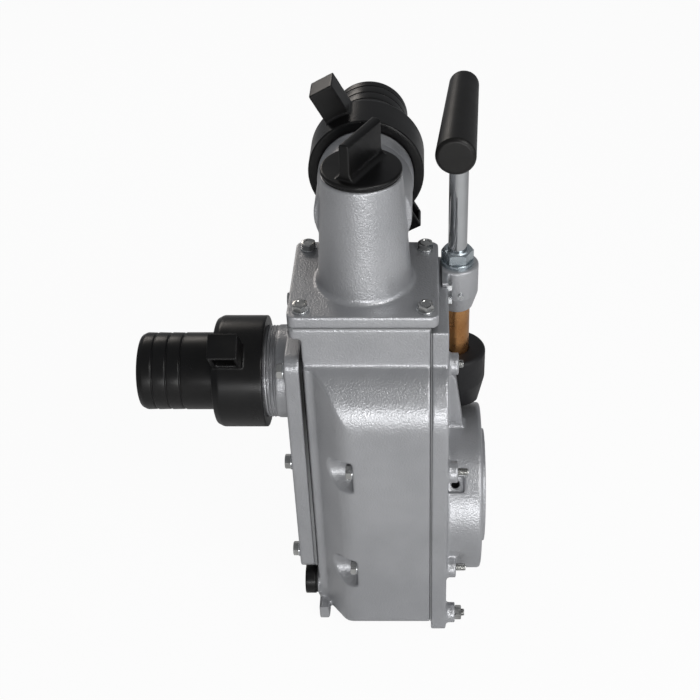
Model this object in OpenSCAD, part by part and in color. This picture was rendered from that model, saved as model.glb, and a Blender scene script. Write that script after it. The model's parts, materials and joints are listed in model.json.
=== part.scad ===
// Three-inch self-priming centrifugal pump end with a hand priming pump.
// The origin is the centre of the engine spigot's face, on the shaft axis.
// +X points to the engine, +Y to the discharge hose, +Z up.

/* [Drive end] */
// Depth of the base below the casing's underside
base_drop = 10; // [8:0.5:14]
// Width of the rear flange beside the drum
drum_margin = 13.3; // [12:0.1:16]
// Length of the drum
drum_len = 35.5; // [34:0.5:40]
// Radius of the engine spigot
spigot_r = 59; // [57:0.5:62]
// Height of the engine spigot
spigot_h = 4.3; // [3:0.1:6]
// Radius of the drive bore for the engine's crankshaft
drive_r = 10; // [9:0.25:10.5]
// Bolt circle of the engine bolts
engine_pcd = 92.1; // [90:0.1:95]

/* [Casing] */
// Thickness of the rear cover's flange
flange_t = 15.5; // [14:0.5:18]
// Length of the casing along the shaft
case_len = 117.2; // [112:0.2:124]
// Half width of the casing across the shaft
case_half = 100; // [98:0.5:103]
// Half width of the riser under the outlet plate
riser_half = 62; // [60:0.5:64]
// Height of the casing's top above the inlet cover
cover_to_top = 34.5; // [32:0.5:38]
// Depth of the casing's underside below the inlet cover
cover_to_underside = 49; // [47:0.5:52]
// Depth of the shoulder's start below the casing's top
shoulder_drop = 94; // [92:0.5:97]
// Radius of the shoulder
shoulder_r = 55; // [52:0.5:58]
// Length of the chamfer beside the inlet cover, along the shaft
chamfer_len = 27; // [24:0.5:30]
// Wall of the casing
case_wall = 6; // [5:0.5:7]

/* [Inlet] */
// Depth of the inlet's axis below the inlet cover's top
inlet_drop = 62; // [60:0.5:64]
// Thickness of the inlet cover
inlet_cover_t = 15; // [13:0.5:17]
// Half width of the inlet cover
inlet_cover_half = 66; // [65:0.5:68]
// Height of the inlet cover
inlet_cover_h = 276; // [270:1:282]
// Height of the inlet cover's middle above the shaft
inlet_cover_z = 78; // [76:1:80]
// Thickness of the black inlet gasket
inlet_gasket_t = 2.5; // [2:0.1:3]

/* [Outlet] */
// How much longer the outlet plate is than the casing
plate_over = 18.8; // [16:0.2:22]
// Width of the outlet plate
plate_w = 124; // [120:1:128]
// Thickness of the outlet plate
plate_t = 12; // [10:0.5:14]
// Radius of the neck at the plate
neck_r = 43; // [42:0.5:45]
// Radius of the neck at the filler
neck_top_r = 36; // [35.5:0.25:37]
// Height of the neck above the plate
neck_h = 111; // [108:1:114]
// Height of the discharge branch above the plate
branch_h = 67; // [64:0.5:67.5]

/* [Hose unions] */
// Radius of the three-inch pipe thread
thread_r = 43.94; // [43.5:0.01:44.5]
// Radius of the hose tail
tail_r = 37.7; // [36.5:0.1:38.5]
// Radius of the hose tail's bore
tail_bore_r = 32.5; // [31:0.5:34]
// Length of the hose tail beyond its nut
tail_len = 74; // [68:1:80]
// Radius of the union nut
nut_r = 54.5; // [53:0.5:56]
// Length of the union nut
nut_len = 48.4; // [46:0.2:52]
// Reach of a nut's wing from the axis
wing_reach = 85.5; // [80:0.5:88]
// Width of a nut's wing
wing_w = 24.5; // [22:0.5:27]

/* [Filler cap] */
// Radius of the filler cap
cap_r = 36; // [35:0.25:37]
// Height of the cap's wing
cap_wing_h = 34; // [30:0.5:38]
// Width across the cap's wing
cap_wing_t = 9.5; // [8:0.5:11]
// Heading of the cap's wing away from +Y
cap_turn = 27; // [0:1:45]

/* [Hand primer] */
// Distance of the primer's axis behind the engine face
primer_back = 30.5; // [30:0.25:31]
// Distance of the primer's axis from the shaft's vertical plane
primer_y = 45; // [43:0.5:47]
// Radius of the primer's rod
rod_r = 9; // [8.5:0.1:9.2]
// Radius of the primer's barrel
barrel_r = 13; // [12.75:0.05:13.25]
// Height of the grip's axis above the primer's head, with the handle up
grip_rise = 151.5; // [148:0.5:156]
// Length of the grip
grip_len = 142; // [134:1:148]
// Radius of the grip at its near end
grip_r = 17.6; // [17:0.1:18]
// Radius of the grip at its far end
grip_far_r = 13.9; // [13:0.1:14]
// Heading of the grip away from +Y
grip_turn = 4.4; // [3:0.1:6]
// Travel of the handle
stroke_len = 90; // [70:1:95]

/* [Impeller] */
// Room between the impeller and the casing's side
impeller_margin = 42; // [41:0.5:44]
// Number of impeller vanes
vanes = 4; // [3:1:6]
// Radius of the impeller's eye
eye_r = 29; // [27:0.5:30]

/* [Fasteners] */
// Radius of an M8 screw
m8_r = 4; // [3.8:0.1:4.2]
// Width across the flats of an M8 head
m8_af = 13; // [12:0.5:14]
// Radius of an M6 screw
m6_r = 3; // [2.8:0.1:3.2]
// Width across the flats of an M6 head
m6_af = 10; // [9:0.5:11]

/* [Hidden] */
$fn = 96;

// Overrun of every cut
cut = 1;
// Clearances
run_gap = 0.1;
loose_gap = 0.35;
clear_gap = 0.5;
seat_gap = 0.3;
// Steps of the outlines' arcs
corner_steps = 5;
shoulder_steps = 14;
spiral_steps = 48;

// Planes across the shaft, from the engine face to the inlet
x_drum = -spigot_h;
x_flange = x_drum - drum_len;
x_rear = x_flange - flange_t;
rear_gasket_t = 0.8;
x_case_r = x_rear - rear_gasket_t;
x_case_l = x_case_r - case_len;
x_cover_in = x_case_l - inlet_gasket_t;
x_cover_out = x_cover_in - inlet_cover_t;

// Heights, all from the inlet cover's height and place
cover_high = inlet_cover_z + inlet_cover_h / 2;
case_top = cover_high + cover_to_top;
case_drop = inlet_cover_h / 2 - inlet_cover_z + cover_to_underside;
shaft_h = case_drop + base_drop;
shoulder_z = case_top - shoulder_drop;
inlet_z = cover_high - inlet_drop;
outlet_gasket_t = 1.5;
z_plate = case_top + outlet_gasket_t;
z_neck = z_plate + plate_t;
z_neck_top = z_neck + neck_h;
z_branch = z_neck + branch_h;
grip_z = z_plate + grip_rise;

// Widths across the shaft
drum_r = case_half - drum_margin;
left_half = inlet_cover_half;
impeller_r = case_half - impeller_margin;
shoulder_y = case_half - shoulder_r;
foot_bottom = -shaft_h;

// Casing
left_land = 8;
case_corner_r = 12;
chamfer_front_r = 22;
chamfer_back_r = 6;
left_corner_r = 3;
chamfer_rise = case_half - left_half;
chamfer_side = norm([chamfer_len, chamfer_rise]);
chamfer_slip_share = (1 - chamfer_len / chamfer_side) / (chamfer_rise / chamfer_side);
suction_half = 58;
suction_wall = 6;
suction_floor = 11;
port_rise = 53;
port_lip = 1;
suction_depth = 51.5;
suction_drop = case_drop - suction_floor;
port_half = 50;
port_top = inlet_z + port_rise;
suction_top = port_top + port_lip;
port_drop = 40;
x_partition = x_case_l + suction_depth;
eye_boss_r = 44;
top_flange_t = 11;
plate_corner_r = 7;
plate_len = case_len + plate_over;
plate_reach = 7.3;
x_outlet = x_case_r + plate_reach - plate_len / 2;
foot_len = 11;
foot_reach = 15;
foot_in = left_half - foot_reach;
foot_out = left_half + foot_reach;
foot_up = 17;
outlet_port_r = 37;

// Screws between casing and rear cover
bolt_edge = 11;
side_bolt_y = case_half - bolt_edge;
side_bolt_high = 103;
side_bolt_drop = 30;
side_bolt_low = -side_bolt_drop;
side_bolt_z = [side_bolt_high, side_bolt_low];
bottom_stud_edge = 9;
bottom_stud_z = bottom_stud_edge - case_drop;
top_stud_side = 46;
top_stud_y = -top_stud_side;
top_stud_drop = 51;
top_stud_z = case_top - top_stud_drop;
stud_in = 34;
top_web_t = 8;
boss_r = 10.5;
boss_h = 9.5;
thread_out = 9.8;
top_thread_out = 4.3;
bolt_tube_r = 8.5;
pocket_r = 19;
pocket_edge = 2;
pocket_y = case_half - pocket_edge;
pocket_wall = 5;
pocket_depth = 43.8;
x_pocket = x_case_l + pocket_depth;
m8_head_h = 5.5;
m8_nut_h = 6.6;
m6_head_h = 4;
washer_t = 1.6;
washer_r = 8;
m6_washer_r = 6;
head_reach_share = 1 / (2 * cos(30));

// Rear cover
cover_top_drop = 3.5;
cover_top = case_top - cover_top_drop;
cover_corner_r = 9;
relief_half = 60;
relief_h = 6;
drum_wall = 8.7;
drum_plate_t = 9.7;
web_t = 8;
hub_r = 34.5;
spigot_wall = 7;
engine_boss_r = 9;
engine_boss_h = 10;
engine_tap_r = 3.4;
engine_turns = [45:90:315];
rib_t = 14;
primer_step = 6;
x_step = x_flange - primer_step;
rib_top = 162;
rib_knee_z = 149;
rib_knee_out = 8.6;
rib_sunk = 6.7;
rib_low_z = drum_r - rib_sunk;
rib_low_out = 17.7;
window_turn = 46;
window_len = 17;
window_w = 16;
window_depth = 5;
window_hole_r = 4;
drum_edge = 2;

// Shaft and its seals, by distance behind the engine face
shaft_r = 15;
shaft_collar_r = 17;
impeller_seat_r = 12;
shaft_tail_r = 14;
bearing_w = 13;
bearing_r = 27.5;
clip_t = 1.6;
clip_r = 29.2;
clip_in_r = 24.8;
clip_gap_deg = 40;
clip_slot = 3;
bearing_recess = 3.7;
x_bearing_r = x_drum - bearing_recess;
bearing_gap = 0.3;
x_bearing_l = x_bearing_r - 2 * bearing_w - bearing_gap;
lip_w = 7;
lip_r = 23;
x_lip = x_bearing_l - lip_w;
x_slinger = x_rear + web_t;
seat_r = 21;
slinger_r = 24;
weep_r = 2.6;
race_in_r = 18.4;
race_out_r = 24.1;
ball_r = 3.57;
ball_play = 0.04;
ball_pitch_r = (race_in_r + race_out_r) / 2;
balls = 9;
cage_t = 1.7;
cage_w = 8;
drive_depth = 56;
key_w = 5;
key_h = 2.3;
key_len = 34;

// Impeller and volute
impeller_plate_t = 4;
seal_room = 5;
x_impeller_back = x_rear - seal_room;
hub_wet_r = 18.5;
hub_front = 30;
vane_h = 25;
vane_t = 5;
vane_in_r = 20;
vane_tip = 0.5;
vane_sweep = 70;
vane_curve_share = 0.8;
vane_steps = 12;
x_vane = x_impeller_back - impeller_plate_t;
x_shaft_nose = x_vane - hub_front;
seal_head_r = 20.5;
volute_wall = 4;
tongue_gap = 4;
volute_start_r = impeller_r + tongue_gap;
volute_room = 19;
volute_end_r = case_half - case_wall - volute_room;
volute_start = 62;
throat_in = 44;
throat_top = 132;
volute_front_t = 5;
vane_gap = 2;
x_volute = x_vane - vane_h - vane_gap;
x_volute_front = x_volute - volute_front_t;
volute_neck_r = 36;
ring_wire_r = 1.5;
ring_side_gap = 0.1;
neck_seat_gap = 0.3;
x_ring = x_partition + suction_wall / 2;

// Inlet cover and check valve
cover_corner = 12;
inlet_bolt_side = 9.5;
inlet_bolt_y = inlet_cover_half - inlet_bolt_side;
inlet_bolt_end = 16.5;
inlet_bolt_low_end = 22.5;
inlet_bolt_mid_rise = 8;
inlet_bolt_z = [
    inlet_cover_h / 2 - inlet_bolt_end, inlet_bolt_mid_rise, inlet_bolt_low_end - inlet_cover_h / 2
];
inlet_bolt_in = 24;
inlet_port_r = 37;
stub_root_step = 1.56;
stub_root_r = thread_r + stub_root_step;
stub_root_len = 12;
union_cover_gap = 23.4;
thread_engage = 32.5;
inlet_stub = union_cover_gap + thread_engage;
seat_ring_r = 45;
flap_r = 45.5;
flap_t = 4;
weight_r = 34;
weight_t = 6;
pin_r = 3;
pin_len = 64;
pin_drop = 5.5;
pin_in = 6.5;
pin_x = x_case_l + pin_in;
pin_z = port_top - pin_drop;
ear_t = 6;
ear_r = 5;
ear_y = 25;
knuckle_r = 5.2;
knuckle_len = 36;
rivet_r = 3;
rivet_head_r = 6;
rivet_head_h = 2.4;
x_flap = x_case_l + seat_gap;

// Outlet body
plate_bolt_edge = 12.2;
plate_bolt_x = plate_len / 2 - plate_bolt_edge;
plate_bolt_y = plate_w / 2 - plate_bolt_edge;
plate_bolt_in = 20;
filler_wall = 6;
filler_thread_r = neck_top_r - filler_wall;
thread_lip = 3.5;
neck_fillet = 2.5;
neck_fillet_h = 4;
neck_wall = 7;
neck_bore_r = neck_r - neck_wall;
neck_bore_top_r = filler_thread_r - thread_lip;
branch_union_gap = 75;
branch_len = branch_union_gap + thread_engage;
filler_seat_depth = 14;

cap_disc_t = 4.5;
cap_dome = 1.2;
cap_skirt_t = 3;
cap_skirt_h = 11;
cap_seal_t = 1.5;
cap_wing_len = 57;
cap_wing_flare = 8;
cap_wing_sunk = 0.6;
cap_wing_round = 3;

// Hose unions, along their own axis from the end of the threaded stub
union_washer_t = 3;
union_flange_t = 6;
union_wall = nut_len - thread_engage - union_washer_t - union_flange_t - seat_gap;
union_flange_gap = 0.54;
union_flange_r = thread_r - union_flange_gap;
nut_edge = 3;
nut_thread_gap = loose_gap;
wing_inset = 18.5;
wing_len = 28;
wing_wall = 4;
wing_floor = 4;
ring_groove = 1.3;
ring_pitch = 13.5;
ring_count = 3;
ring_w = 2.4;
tail_edge = 3;
tail_root_step = 0.4;
inlet_wing_turn = -36;
discharge_wing_turn = 61.5;

// Drain plug
drain_side = 14;
drain_y = drain_side - left_half;
drain_rise = 21;
drain_z = drain_rise - case_drop;
drain_head_r = 16;
drain_head_h = 11;
drain_thread_r = 10;
drain_boss_r = 17;
drain_boss_h = 2;
drain_in = 14;
drain_washer_t = 1.5;
drain_key_af = 14;
drain_key_depth = 7;

// Hand primer
primer_x = -primer_back;
head_r = 20.5;
head_top = z_plate;
head_straight = 32;
head_foot_h = 17;
head_foot_r = 15.5;
head_rim = 1.5;
lug_y = 19.5;
lug_w = 18;
lug_t = 6;
lug_h = 36;
head_screw_drop = 11;
head_screw_pitch = 15;
head_screw_z = [head_top - head_screw_drop, head_top - head_screw_drop - head_screw_pitch];
head_screw_in = 8;
rod_screw_in = 12;
barrel_wall = 2;
barrel_seat = 14;
barrel_top = head_top - barrel_seat;
foot_top = 149;
foot_wide_h = 34;
foot_r = 30;
foot_low_r = 21.5;
foot_low = 74;
saddle_gap = 6;
barrel_rise = 28;
barrel_bottom = foot_low + barrel_rise;
gland_h = 16;
gland_af = 27;
gland_in_r = 16;
gland_skirt = 4;
packing_w = 3;
packing_r = rod_r + packing_w;
packing_t = 7;
piston_t = 12;
piston_rest = 12;
piston_low = barrel_bottom + stroke_len + piston_rest;
piston_gap = 0.15;
cup_t = 4;
bar_r = 7;
bar_end_wall = 4;
grip_round = 2.5;
disc_r = 9.5;
disc_t = 2.5;
disc_lift = 3;
disc_play = 1;
disc_chamber = disc_t + disc_lift + disc_play;
foot_port_r = 5;
foot_screw_y = 19;
foot_screw_z = [118, 136];
foot_screw_in = 8;
foot_bore_depth = 8;
vent_r = 2.4;
vent_out = 2.5;
vent_step = 0.8;
vent_seat = 1;
vent_in = 6;
vent_drop = 26;
vent_z = head_top - vent_drop;
vent_side = 3.5;
vent_x = primer_x + vent_side;

// Corner arc for rounded()
function unit(v) = v / norm(v);
function arc(c, r, a0, a1, n) =
    [for (i = [0:n]) c + r * [cos(a0 + (a1 - a0) * i / n), sin(a0 + (a1 - a0) * i / n)]];
function wrapped(a) = a > 180 ? a - 360 : a < -180 ? a + 360 : a;
function corner(p, q, s, r) =
    let (
        u = unit(p - q),
        w = unit(s - q),
        half = acos(u * w) / 2,
        c = q + unit(u + w) * r / sin(half),
        from = q + u * r / tan(half) - c,
        to = q + w * r / tan(half) - c,
        a0 = atan2(from[1], from[0]),
        turn = wrapped(atan2(to[1], to[0]) - a0)
    )
    arc(c, r, a0, a0 + turn, corner_steps);
function rounded(pts, radii) = [
    for (i = [0:len(pts) - 1])
        let (
            n = len(pts),
            p = pts[(i + n - 1) % n],
            s = pts[(i + 1) % n]
        )
        each radii[i] == 0 ? [pts[i]] : corner(p, pts[i], s, radii[i])
];
function box_points(a, b) = [[-a, -b], [a, -b], [a, b], [-a, b]];
function even(r) = [r, r, r, r];

module rod_x(r, x0, x1, y = 0, z = 0) {
    translate([x0, y, z]) rotate([0, 90, 0]) cylinder(r = r, h = x1 - x0);
}
module rod_y(r, y0, y1, x = 0, z = 0) {
    translate([x, y0, z]) rotate([-90, 0, 0]) cylinder(r = r, h = y1 - y0);
}
module rod_z(r, z0, z1, x = 0, y = 0) {
    translate([x, y, z0]) cylinder(r = r, h = z1 - z0);
}
module hex_x(af, x0, x1, y = 0, z = 0) {
    translate([x0, y, z]) rotate([0, 90, 0]) cylinder(r = af * head_reach_share, h = x1 - x0, $fn = 6);
}
module hex_z(af, z0, z1, x = 0, y = 0) {
    translate([x, y, z0]) cylinder(r = af * head_reach_share, h = z1 - z0, $fn = 6);
}
module block(x0, x1, y0, y1, z0, z1) {
    translate([x0, y0, z0]) cube([x1 - x0, y1 - y0, z1 - z0]);
}
module prism_x(pts, x0, x1) {
    translate([x0, 0, 0]) rotate([90, 0, 90]) linear_extrude(height = x1 - x0) polygon(pts);
}
module prism_y(pts, y0, y1) {
    translate([0, y1, 0]) rotate([90, 0, 0]) linear_extrude(height = y1 - y0) polygon(pts);
}
module prism_z(pts, z0, z1) {
    translate([0, 0, z0]) linear_extrude(height = z1 - z0) polygon(pts);
}
// Turned solid about the shaft: points are [radius, x]
module turned_x(pts) {
    rotate([0, 90, 0]) rotate_extrude() polygon(pts);
}
module both_y() {
    children();
    mirror([0, 1, 0]) children();
}

// Outline of the casing seen along the shaft, drawn in by w
function side_half(w, zb, zt, rb) = concat(
    arc([case_half - w - rb, zb + rb], rb, -90, 0, corner_steps),
    arc([shoulder_y, shoulder_z], shoulder_r - w, 0,
        acos((riser_half - w - shoulder_y) / (shoulder_r - w)), shoulder_steps),
    [[riser_half - w, zt]]
);
function both_halves(half) =
    concat(half, [for (i = [len(half) - 1:-1:0]) [-half[i][0], half[i][1]]]);

// Outline of the casing seen from above, drawn in by w, as far as x_end
function plan_points(w, x_end) =
    let (
        slip = w * chamfer_slip_share,
        x_left = x_case_l + w,
        x_back = x_case_l + left_land + slip,
        x_front = x_back + chamfer_len
    )
    [
        [x_end, -case_half + w], [x_end, case_half - w],
        [x_front, case_half - w], [x_back, left_half - w], [x_left, left_half - w],
        [x_left, -left_half + w], [x_back, -left_half + w], [x_front, -case_half + w]
    ];
function plan_radii(w) = [
    0, 0, chamfer_front_r - w, chamfer_back_r, left_corner_r,
    left_corner_r, chamfer_back_r, chamfer_front_r - w
];
module body_form(w, x_end, z_end) {
    intersection() {
        prism_x(both_halves(side_half(w, -case_drop + w, z_end, case_corner_r)), x_case_l, x_end);
        prism_z(rounded(plan_points(w, x_end), plan_radii(w)), -case_drop, z_end);
    }
}
module side_bolts_at() {
    both_y() for (z = side_bolt_z) translate([0, side_bolt_y, z]) children();
}
module bottom_studs_at() {
    both_y() translate([0, side_bolt_y, bottom_stud_z]) children();
}
module top_stud_at() {
    translate([0, top_stud_y, top_stud_z]) children();
}
module studs_at() {
    bottom_studs_at() children();
    top_stud_at() children();
}
// Web that carries the top stud's tube on the shoulder
module top_stud_web(x0, x1) {
    block(x0, x1, -case_half, top_stud_y, top_stud_z - top_web_t / 2, top_stud_z + top_web_t / 2);
}
module inlet_bolts_at() {
    both_y() for (z = inlet_bolt_z) translate([0, inlet_bolt_y, inlet_cover_z + z]) children();
}
module plate_bolts_at() {
    for (sx = [-1, 1], sy = [-1, 1])
        translate([x_outlet + sx * plate_bolt_x, sy * plate_bolt_y, 0]) children();
}
function plate_outline() = [
    for (p = rounded(box_points(plate_len / 2, plate_w / 2), even(plate_corner_r))) p + [x_outlet, 0]
];

module suction_room(w) {
    block(x_case_l + (w > 0 ? 0 : left_land), x_partition + w,
        -suction_half - w, suction_half + w, -suction_drop - w, suction_top + w);
}

module casing() {
    color("silver") difference() {
        union() {
            difference() {
                union() {
                    body_form(0, x_case_r, case_top);
                    intersection() {
                        prism_z(plate_outline(), case_top - top_flange_t, case_top);
                        block(x_outlet - plate_len, x_case_r, -plate_w, plate_w,
                            case_top - top_flange_t, case_top);
                    }
                    both_y() block(x_case_l, x_case_l + foot_len, foot_in, foot_out,
                        foot_bottom, foot_bottom + foot_up);
                    rod_x(drain_boss_r, x_case_l - drain_boss_h, x_case_l, drain_y, drain_z);
                }
                difference() {
                    body_form(case_wall, x_case_r + cut, case_top - case_wall);
                    suction_room(suction_wall);
                    both_y() for (z = side_bolt_z) {
                        rod_x(pocket_r + pocket_wall, x_case_l, x_pocket + pocket_wall, pocket_y, z);
                        rod_x(bolt_tube_r, x_pocket, x_case_r + cut, side_bolt_y, z);
                    }
                    studs_at() rod_x(bolt_tube_r, x_case_r - stud_in - case_wall, x_case_r + cut);
                    top_stud_web(x_case_r - stud_in - case_wall, x_case_r + cut);
                    plate_bolts_at() rod_z(bolt_tube_r, case_top - plate_bolt_in - case_wall, case_top);
                }
                suction_room(0);
            }
            rod_x(eye_boss_r, x_partition, x_partition + suction_wall);
            intersection() {
                rod_x(drain_boss_r, x_case_l, x_case_l + drain_in, drain_y, drain_z);
                body_form(0, x_case_r, case_top);
            }
            intersection() {
                body_form(0, x_case_r, case_top);
                inlet_bolts_at() rod_x(bolt_tube_r, x_case_l, x_case_l + inlet_bolt_in);
            }
        }
        block(x_case_l - cut, x_case_l + left_land + cut, -port_half, port_half, -port_drop, port_top);
        rod_x(volute_neck_r + neck_seat_gap, x_partition - cut, x_partition + suction_wall + cut);
        rod_z(outlet_port_r, case_top - case_wall - cut, case_top + cut, x_outlet, 0);
        side_bolts_at() rod_x(m8_r + loose_gap, x_pocket - cut, x_case_r + cut);
        both_y() for (z = side_bolt_z) rod_x(pocket_r, x_case_l + left_land, x_pocket, pocket_y, z);
        studs_at() rod_x(m8_r, x_case_r - stud_in, x_case_r + cut);
        inlet_bolts_at() rod_x(m8_r, x_case_l - cut, x_case_l + inlet_bolt_in - case_wall);
        plate_bolts_at() rod_z(m8_r, case_top - plate_bolt_in, case_top + cut);
        rod_x(drain_thread_r, x_case_l - drain_boss_h - cut, x_case_l + drain_in + cut,
            drain_y, drain_z);
    }
}

function inlet_outline() = [
    for (p = rounded(box_points(inlet_cover_half, inlet_cover_h / 2), even(cover_corner)))
        p + [0, inlet_cover_z]
];

module inlet_cover() {
    color("silver") difference() {
        union() {
            prism_x(inlet_outline(), x_cover_out, x_cover_in);
            rod_x(thread_r, x_cover_out - inlet_stub, x_cover_out, 0, inlet_z);
            rod_x(stub_root_r, x_cover_out - stub_root_len, x_cover_out, 0, inlet_z);
            rod_x(seat_ring_r, x_cover_in, x_cover_in + inlet_gasket_t, 0, inlet_z);
            both_y() {
                block(x_cover_in, pin_x, ear_y, ear_y + ear_t, pin_z - ear_r, pin_z + ear_r);
                rod_y(ear_r, ear_y, ear_y + ear_t, pin_x, pin_z);
            }
        }
        rod_x(inlet_port_r, x_cover_out - inlet_stub - cut, x_cover_in + inlet_gasket_t + cut,
            0, inlet_z);
        rod_y(pin_r, -pin_len / 2, pin_len / 2, pin_x, pin_z);
        inlet_bolts_at() rod_x(m8_r + loose_gap, x_cover_out - cut, x_cover_in + cut);
    }
}

module inlet_gasket() {
    color([0.05, 0.05, 0.05]) difference() {
        prism_x(inlet_outline(), x_cover_in, x_case_l);
        block(x_cover_in - cut, x_case_l + cut, -port_half, port_half, -port_drop, port_top);
        inlet_bolts_at() rod_x(m8_r + loose_gap, x_cover_in - cut, x_case_l + cut);
    }
}

module inlet_cover_bolts() {
    color("dimgray") inlet_bolts_at() {
        hex_x(m8_af, x_cover_out - washer_t - m8_head_h, x_cover_out - washer_t);
        rod_x(m8_r, x_cover_out - washer_t, x_case_l + inlet_bolt_in - case_wall - cut);
    }
}

module washer_x(x0, x1) {
    difference() {
        rod_x(washer_r, x0, x1);
        rod_x(m8_r + run_gap, x0 - cut, x1 + cut);
    }
}

module inlet_cover_washers() {
    color("silver") inlet_bolts_at() washer_x(x_cover_out - washer_t, x_cover_out);
}

module outlet_body() {
    color("silver") difference() {
        union() {
            prism_z(plate_outline(), z_plate, z_neck);
            translate([x_outlet, 0, z_neck]) rotate_extrude() polygon([
                [0, 0], [neck_r + neck_fillet, 0], [neck_r, neck_fillet_h],
                [neck_top_r, neck_h], [0, neck_h]
            ]);
            rod_y(thread_r, 0, branch_len, x_outlet, z_branch);
        }
        translate([x_outlet, 0, z_plate]) rotate_extrude() polygon([
            [0, -cut], [neck_bore_r, -cut], [neck_bore_r, plate_t],
            [neck_bore_top_r, plate_t + neck_h + cut], [0, plate_t + neck_h + cut]
        ]);
        rod_z(filler_thread_r, z_neck_top - filler_seat_depth, z_neck_top + cut, x_outlet, 0);
        rod_y(inlet_port_r, 0, branch_len + cut, x_outlet, z_branch);
        plate_bolts_at() rod_z(m8_r + loose_gap, z_plate - cut, z_neck + cut);
    }
}

module outlet_gasket() {
    color([0.05, 0.05, 0.05]) difference() {
        intersection() {
            prism_z(plate_outline(), case_top, z_plate);
            block(x_outlet - plate_len, x_case_r, -plate_w, plate_w, case_top, z_plate);
        }
        rod_z(outlet_port_r, case_top - cut, z_plate + cut, x_outlet, 0);
        plate_bolts_at() rod_z(m8_r + loose_gap, case_top - cut, z_plate + cut);
    }
}

module outlet_bolts() {
    color("dimgray") plate_bolts_at() {
        hex_z(m8_af, z_neck + washer_t, z_neck + washer_t + m8_head_h);
        rod_z(m8_r, case_top - plate_bolt_in + cut, z_neck + washer_t);
    }
}

module outlet_washers() {
    color("silver") plate_bolts_at() difference() {
        rod_z(washer_r, z_neck, z_neck + washer_t);
        rod_z(m8_r + run_gap, z_neck - cut, z_neck + washer_t + cut);
    }
}

module rear_outline(x0, x1) {
    difference() {
        prism_x(both_halves(side_half(0, foot_bottom, cover_top, cover_corner_r)), x0, x1);
        block(x0 - cut, x1 + cut, -relief_half, relief_half, foot_bottom - cut,
            foot_bottom + relief_h);
    }
}

module rear_cover() {
    color("silver") difference() {
        union() {
            rear_outline(x_rear, x_flange);
            turned_x([
                [0, x_rear], [drum_r, x_rear], [drum_r, x_drum - drum_edge],
                [drum_r - drum_edge, x_drum], [spigot_r, x_drum], [spigot_r, 0], [0, 0]
            ]);
            prism_y([
                [x_flange, rib_top], [x_flange + rib_knee_out, rib_knee_z],
                [x_flange + rib_low_out, rib_low_z], [x_flange, rib_low_z]
            ], -rib_t / 2, rib_t / 2);
            side_bolts_at() rod_x(boss_r, x_flange, x_flange + boss_h);
            studs_at() rod_x(boss_r, x_flange, x_flange + boss_h);
        }
        difference() {
            rod_x(drum_r - drum_wall, x_slinger, x_drum - drum_plate_t);
            rod_x(hub_r, x_slinger - cut, x_drum);
            for (a = engine_turns)
                rod_x(engine_boss_r, x_drum - drum_plate_t - engine_boss_h, x_drum,
                    engine_pcd / 2 * cos(a), engine_pcd / 2 * sin(a));
        }
        difference() {
            block(x_step, x_flange + cut, lug_y - lug_w / 2 - clear_gap,
                primer_y + foot_r + clear_gap, foot_low - clear_gap, cover_top + cut);
            rod_x(drum_r, x_step - cut, x_flange + 2 * cut);
        }
        rod_x(spigot_r - spigot_wall, x_drum, cut);
        rod_x(shaft_collar_r + clear_gap, x_rear - cut, x_drum);
        rod_x(seat_r, x_rear - cut, x_slinger);
        rod_x(slinger_r, x_slinger, x_lip);
        rod_x(lip_r, x_lip - cut, x_bearing_l);
        rod_x(bearing_r, x_bearing_l, x_drum + cut);
        rod_x(clip_r, x_bearing_r, x_bearing_r + clip_t + loose_gap);
        translate([(x_slinger + x_lip) / 2, 0, 0]) both_y()
            rotate([window_turn, 0, 0]) translate([0, 0, slinger_r - cut])
                cylinder(r = weep_r, h = hub_r - slinger_r + 2 * cut);
        both_y() rotate([window_turn, 0, 0]) {
            block(x_flange, x_flange + window_len, -window_w / 2, window_w / 2,
                drum_r - window_depth, drum_r + cut);
            rod_z(window_hole_r, drum_r - drum_wall - cut, drum_r, x_flange + window_len / 2, 0);
        }
        for (a = engine_turns)
            rod_x(engine_tap_r, x_drum - drum_plate_t - engine_boss_h + cut, x_drum + cut,
                engine_pcd / 2 * cos(a), engine_pcd / 2 * sin(a));
        side_bolts_at() rod_x(m8_r, x_rear - cut, x_flange + boss_h + cut);
        bottom_studs_at() rod_x(m8_r + run_gap, x_rear - cut, x_flange + boss_h + cut);
        top_stud_at() rod_x(m8_r, x_rear - cut, x_flange + boss_h + cut);
        for (z = head_screw_z) rod_x(m6_r, x_step - head_screw_in, x_step + cut, lug_y, z);
        for (z = foot_screw_z)
            rod_x(m6_r, x_step - foot_screw_in, x_step + cut, primer_y + foot_screw_y, z);
    }
}

module rear_gasket() {
    color([0.05, 0.05, 0.05]) difference() {
        prism_x(both_halves(side_half(0, -case_drop, cover_top, case_corner_r)), x_case_r, x_rear);
        difference() {
            prism_x(both_halves(side_half(case_wall, -case_drop + case_wall, cover_top - case_wall,
                case_corner_r)), x_case_r - cut, x_rear + cut);
            side_bolts_at() rod_x(bolt_tube_r, x_case_r - cut, x_rear + cut);
            studs_at() rod_x(bolt_tube_r, x_case_r - cut, x_rear + cut);
            top_stud_web(x_case_r - cut, x_rear + cut);
        }
        side_bolts_at() rod_x(m8_r + loose_gap, x_case_r - cut, x_rear + cut);
        studs_at() rod_x(m8_r + loose_gap, x_case_r - cut, x_rear + cut);
    }
}

module through_bolts() {
    color("dimgray") side_bolts_at() {
        hex_x(m8_af, x_pocket - washer_t - m8_head_h, x_pocket - washer_t);
        rod_x(m8_r, x_pocket - washer_t, x_flange + boss_h + thread_out);
    }
}

module through_washers() {
    color("silver") side_bolts_at() washer_x(x_pocket - washer_t, x_pocket);
}

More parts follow.
